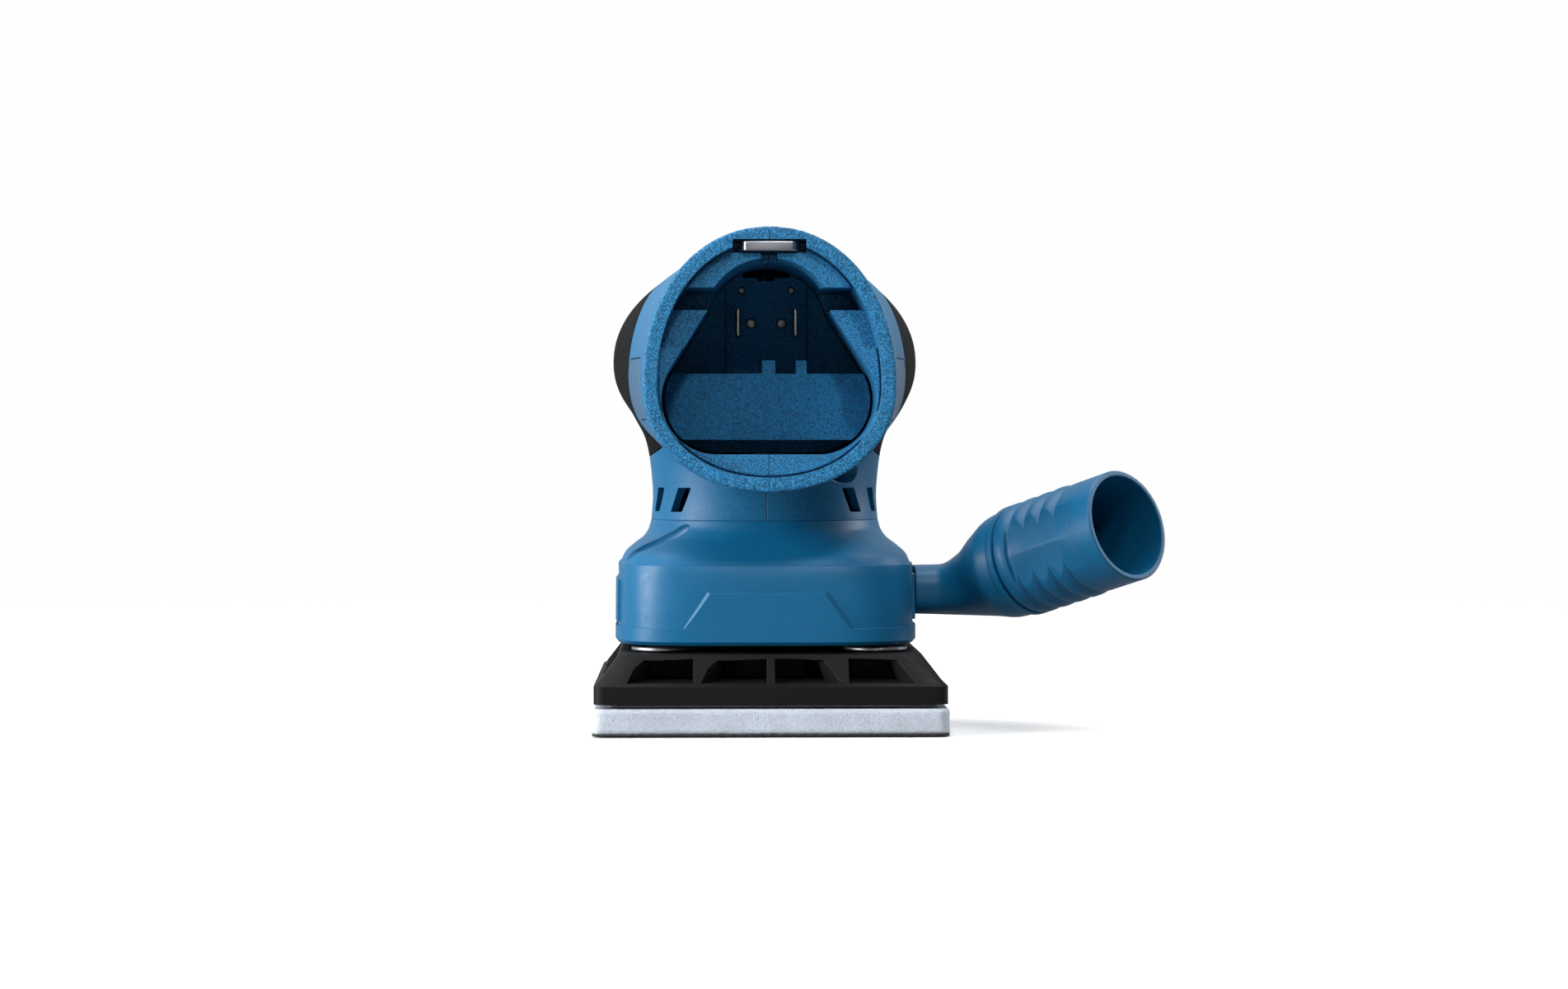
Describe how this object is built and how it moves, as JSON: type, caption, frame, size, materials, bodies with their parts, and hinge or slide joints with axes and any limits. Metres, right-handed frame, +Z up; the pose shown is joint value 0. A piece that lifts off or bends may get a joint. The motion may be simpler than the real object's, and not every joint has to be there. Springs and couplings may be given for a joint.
{
  "type": "orbital sander",
  "caption": "Cordless palm-grip orbital sander with rear battery bay, rectangular foam pad and angled dust nozzle.",
  "frame": {"origin": "on the motor's axis, in the plane of the sanding pad's lower face", "axes": "+Z up along the motor's axis, -Y towards the battery bay's mouth, +X towards the dust nozzle"},
  "size_m": [0.1648, 0.128, 0.1421],
  "materials": {
    "grained_shell": "fine spark-eroded grain, blue glass-filled nylon",
    "satin_shell": "smooth satin blue moulding",
    "overmould": "soft matt black overmould",
    "badge": "smooth recessed plate without lettering",
    "contact_brass": "plated",
    "contact_steel": "plated",
    "strap_steel": "polished",
    "black_plastic": "matt moulded",
    "switch_black": "satin moulded",
    "circuit_board": "solder mask",
    "bearing_steel": "ground",
    "motor_steel": "plated",
    "ferrite": "sintered",
    "cast_plate": "die-cast",
    "foot_rubber": "moulded elastomer",
    "screw_steel": "zinc plated",
    "foam": "open-cell grey foam with dark specks",
    "hook_fabric": "hook fastener"
  },
  "bodies": {
    "housing": {"housing_left": "grained_shell", "housing_right": "grained_shell", "base_skirt": "satin_shell", "grip_left": "overmould", "grip_right": "overmould", "badge_left": "badge", "badge_right": "badge", "battery_carrier": "grained_shell", "blade_terminal_left": "contact_brass", "blade_terminal_right": "contact_brass", "contact_lower_left": "contact_steel", "contact_lower_right": "contact_steel", "contact_upper_left": "contact_steel", "contact_upper_right": "contact_steel", "retainer_strap": "strap_steel", "switch_body": "black_plastic", "control_board": "circuit_board", "motor_can": "motor_steel", "magnet_ring": "ferrite", "upper_bearing": "bearing_steel", "lower_bearing": "bearing_steel", "bearing_plate": "cast_plate", "fan_shroud": "black_plastic", "foot_posts_rear_left": "foot_rubber", "foot_posts_rear_right": "foot_rubber", "foot_posts_front_left": "foot_rubber", "foot_posts_front_right": "foot_rubber", "housing_screw_1": "screw_steel", "housing_screw_2": "screw_steel", "housing_screw_3": "screw_steel", "housing_screw_4": "screw_steel", "plate_screw_1": "screw_steel", "plate_screw_2": "screw_steel", "plate_screw_3": "screw_steel", "plate_screw_4": "screw_steel"},
    "spindle": {"rotor_shaft": "motor_steel", "armature": "motor_steel", "fan": "black_plastic", "counterweight": "motor_steel"},
    "pad": {"sanding_plate": "black_plastic", "backing_plate": "motor_steel", "foam_pad": "foam", "hook_layer": "hook_fabric", "eccentric_bearing": "bearing_steel", "foot_disc_rear_left": "screw_steel", "foot_disc_rear_right": "screw_steel", "foot_disc_front_left": "screw_steel", "foot_disc_front_right": "screw_steel", "foot_screw_rear_left": "screw_steel", "foot_screw_rear_right": "screw_steel", "foot_screw_front_left": "screw_steel", "foot_screw_front_right": "screw_steel"},
    "rocker": {"power_rocker": "switch_black"},
    "adapter": {"dust_adapter": "satin_shell", "adapter_seal": "overmould"}
  },
  "joints": [
    {"name": "spindle_spin", "type": "hinge", "parent": "housing", "child": "spindle", "pos_m": [0, 0, 0.06], "axis": [0, 0, 1], "continuous": true},
    {"name": "pad_orbit", "type": "hinge", "parent": "spindle", "child": "pad", "pos_m": [0.0008, 0, 0.0195], "axis": [0, 0, 1], "continuous": true},
    {"name": "rocker_tilt", "type": "hinge", "parent": "housing", "child": "rocker", "pos_m": [0, 0.02901, 0.11735], "axis": [1, 0, 0], "range_deg": [-12, 0]},
    {"name": "adapter_pull", "type": "slide", "parent": "housing", "child": "adapter", "axis": [1, 0, 0], "range_m": [0, 0.012]}
  ],
  "couplings": [
    {"joint": "pad_orbit", "follows": "spindle_spin", "ratio": -1}
  ]
}
